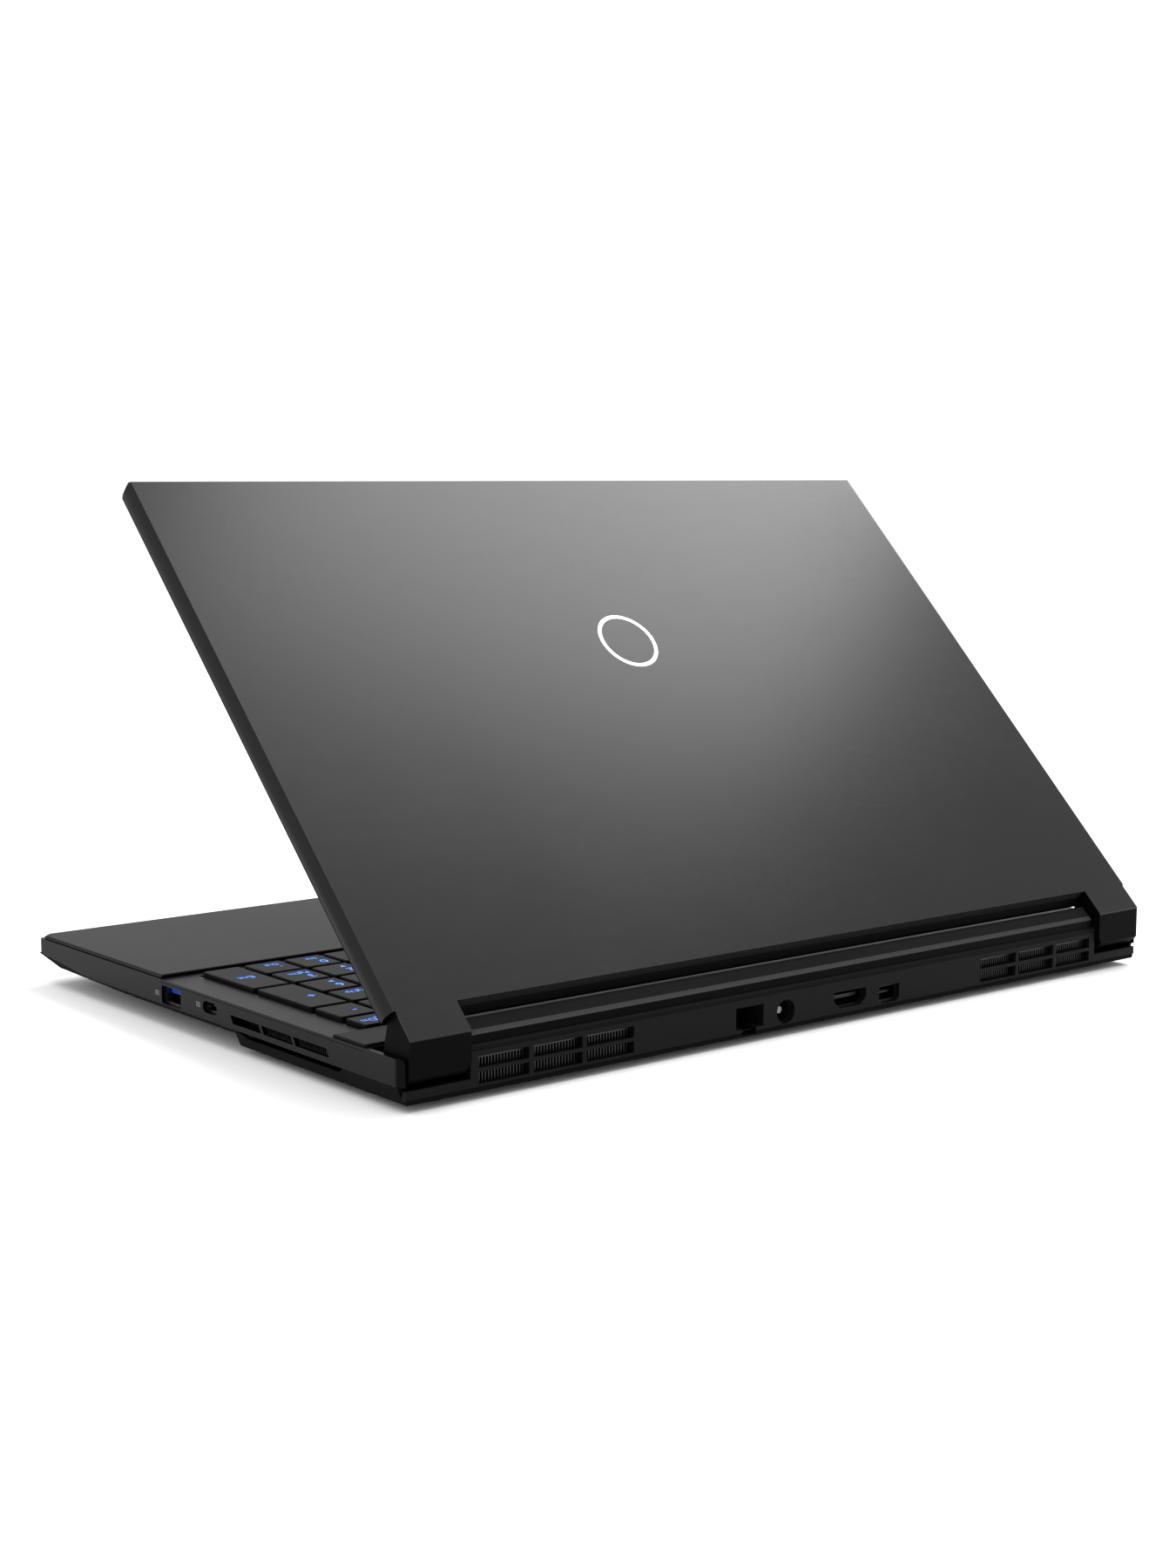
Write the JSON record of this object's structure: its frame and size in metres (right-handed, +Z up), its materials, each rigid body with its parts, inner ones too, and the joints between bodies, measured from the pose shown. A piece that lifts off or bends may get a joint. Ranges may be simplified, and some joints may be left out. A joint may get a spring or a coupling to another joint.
{
  "type": "laptop computer",
  "caption": "Laptop computer with hinged display lid, full keyboard with number pad, touchpad, rear ports and vented corners.",
  "frame": {"origin": "on the table plane under the middle of the lower half", "axes": "+X to the user's right, +Y to the back, +Z up"},
  "size_m": [0.36, 0.2497, 0.1936],
  "materials": {
    "dark_metal": "satin anodised, dark grey",
    "black_plastic": "fine matt texture",
    "key_plastic": "matt keycap with lit legend",
    "port_metal": "plated steel",
    "black_steel": "blackened steel",
    "steel": "ground steel",
    "copper": "bare copper",
    "thin_aluminium": "mill finish",
    "board": "solder mask",
    "silicon": "polished",
    "rubber": "soft",
    "panel_glass": "anti-glare film",
    "cell_wrap": "shrink wrap",
    "touch_glass": "fine etched",
    "bright_metal": "polished",
    "white_lens": "light pipe"
  },
  "bodies": {
    "base": {"audio_jacks": "black_plastic", "battery_pack": "cell_wrap", "bottom_cover": "black_plastic", "bottom_screws": "black_steel", "dc_jack": "black_plastic", "fan_housing_left": "black_plastic", "fan_housing_right": "black_plastic", "heat_pipes": "copper", "hinge_base_bracket_left": "steel", "hinge_base_bracket_right": "steel", "keyboard_backplate": "thin_aluminium", "keyboard_membrane": "black_plastic", "lan_port": "black_plastic", "mainboard": "board", "memory_modules": "board", "palmrest_plate": "dark_metal", "processor_chips": "silicon", "rear_deck_cover": "dark_metal", "rear_fin_stacks": "copper", "rear_panel": "black_plastic", "rubber_feet": "rubber", "side_fin_stacks": "copper", "small_round_port": "port_metal", "small_video_port": "port_metal", "speakers": "black_plastic", "ssd_card": "board", "status_lights": "white_lens", "top_case": "dark_metal", "touchpad_tray": "black_steel", "usb_port_left": "port_metal", "usb_port_right": "port_metal", "wide_video_port": "port_metal", "wireless_card": "board"},
    "lid": {"lid_cover": "dark_metal", "lid_emblem": "bright_metal", "display_bezel": "black_plastic", "display_panel": "panel_glass", "camera_module": "black_plastic", "lid_bumpers": "rubber", "display_cable": "cell_wrap", "hinge_lid_bracket_left": "steel", "hinge_lid_bracket_right": "steel", "hinge_pins": "steel"},
    "arrow_keys": {"arrow_keys": "key_plastic"},
    "backspace_key": {"backspace_key": "key_plastic"},
    "enter_key": {"enter_key": "key_plastic"},
    "keys_bottom_row": {"keys_bottom_row": "key_plastic"},
    "keys_function_row": {"keys_function_row": "key_plastic"},
    "keys_home_row": {"keys_home_row": "key_plastic"},
    "keys_lower_row": {"keys_lower_row": "key_plastic"},
    "keys_number_row": {"keys_number_row": "key_plastic"},
    "keys_upper_row": {"keys_upper_row": "key_plastic"},
    "left_shift_key": {"left_shift_key": "key_plastic"},
    "numpad_enter_key": {"numpad_enter_key": "key_plastic"},
    "numpad_plus_key": {"numpad_plus_key": "key_plastic"},
    "space_bar": {"space_bar": "key_plastic"},
    "touchpad": {"touchpad": "touch_glass"},
    "power_button": {"power_button": "dark_metal"},
    "fan_rotor_left": {"fan_rotor_left": "black_plastic"},
    "fan_rotor_right": {"fan_rotor_right": "black_plastic"}
  },
  "joints": [
    {"name": "lid_hinge", "type": "hinge", "parent": "base", "child": "lid", "pos_m": [0, 0.1188, 0.017], "axis": [1, 0, 0], "range_deg": [-90, 45.35]},
    {"name": "arrow_keys_travel", "type": "slide", "parent": "base", "child": "arrow_keys", "axis": [0, 0, -1], "range_m": [0, 0.0014], "stiffness_N_per_m": 1000, "springref_m": -0.0006},
    {"name": "backspace_key_travel", "type": "slide", "parent": "base", "child": "backspace_key", "axis": [0, 0, -1], "range_m": [0, 0.0014], "stiffness_N_per_m": 250, "springref_m": -0.0006},
    {"name": "enter_key_travel", "type": "slide", "parent": "base", "child": "enter_key", "axis": [0, 0, -1], "range_m": [0, 0.0014], "stiffness_N_per_m": 250, "springref_m": -0.0006},
    {"name": "keys_bottom_row_travel", "type": "slide", "parent": "base", "child": "keys_bottom_row", "axis": [0, 0, -1], "range_m": [0, 0.0014], "stiffness_N_per_m": 2250, "springref_m": -0.0006},
    {"name": "keys_function_row_travel", "type": "slide", "parent": "base", "child": "keys_function_row", "axis": [0, 0, -1], "range_m": [0, 0.0014], "stiffness_N_per_m": 5000, "springref_m": -0.0006},
    {"name": "keys_home_row_travel", "type": "slide", "parent": "base", "child": "keys_home_row", "axis": [0, 0, -1], "range_m": [0, 0.0014], "stiffness_N_per_m": 3750, "springref_m": -0.0006},
    {"name": "keys_lower_row_travel", "type": "slide", "parent": "base", "child": "keys_lower_row", "axis": [0, 0, -1], "range_m": [0, 0.0014], "stiffness_N_per_m": 3500, "springref_m": -0.0006},
    {"name": "keys_number_row_travel", "type": "slide", "parent": "base", "child": "keys_number_row", "axis": [0, 0, -1], "range_m": [0, 0.0014], "stiffness_N_per_m": 4250, "springref_m": -0.0006},
    {"name": "keys_upper_row_travel", "type": "slide", "parent": "base", "child": "keys_upper_row", "axis": [0, 0, -1], "range_m": [0, 0.0014], "stiffness_N_per_m": 4250, "springref_m": -0.0006},
    {"name": "left_shift_key_travel", "type": "slide", "parent": "base", "child": "left_shift_key", "axis": [0, 0, -1], "range_m": [0, 0.0014], "stiffness_N_per_m": 250, "springref_m": -0.0006},
    {"name": "numpad_enter_key_travel", "type": "slide", "parent": "base", "child": "numpad_enter_key", "axis": [0, 0, -1], "range_m": [0, 0.0014], "stiffness_N_per_m": 250, "springref_m": -0.0006},
    {"name": "numpad_plus_key_travel", "type": "slide", "parent": "base", "child": "numpad_plus_key", "axis": [0, 0, -1], "range_m": [0, 0.0014], "stiffness_N_per_m": 250, "springref_m": -0.0006},
    {"name": "space_bar_travel", "type": "slide", "parent": "base", "child": "space_bar", "axis": [0, 0, -1], "range_m": [0, 0.0014], "stiffness_N_per_m": 250, "springref_m": -0.0006},
    {"name": "power_button_travel", "type": "slide", "parent": "base", "child": "power_button", "axis": [0, 0, -1], "range_m": [0, 0.0003], "stiffness_N_per_m": 400, "springref_m": -0.0005},
    {"name": "touchpad_click", "type": "hinge", "parent": "base", "child": "touchpad", "pos_m": [-0.035, -0.037, 0.0177], "axis": [1, 0, 0], "range_deg": [0, 0.3], "stiffness_Nm_per_rad": 2, "springref_deg": -2.29},
    {"name": "fan_left_spin", "type": "hinge", "parent": "base", "child": "fan_rotor_left", "pos_m": [-0.116, 0.066, 0.009], "axis": [0, 0, 1], "continuous": true},
    {"name": "fan_right_spin", "type": "hinge", "parent": "base", "child": "fan_rotor_right", "pos_m": [0.116, 0.066, 0.009], "axis": [0, 0, 1], "continuous": true}
  ]
}
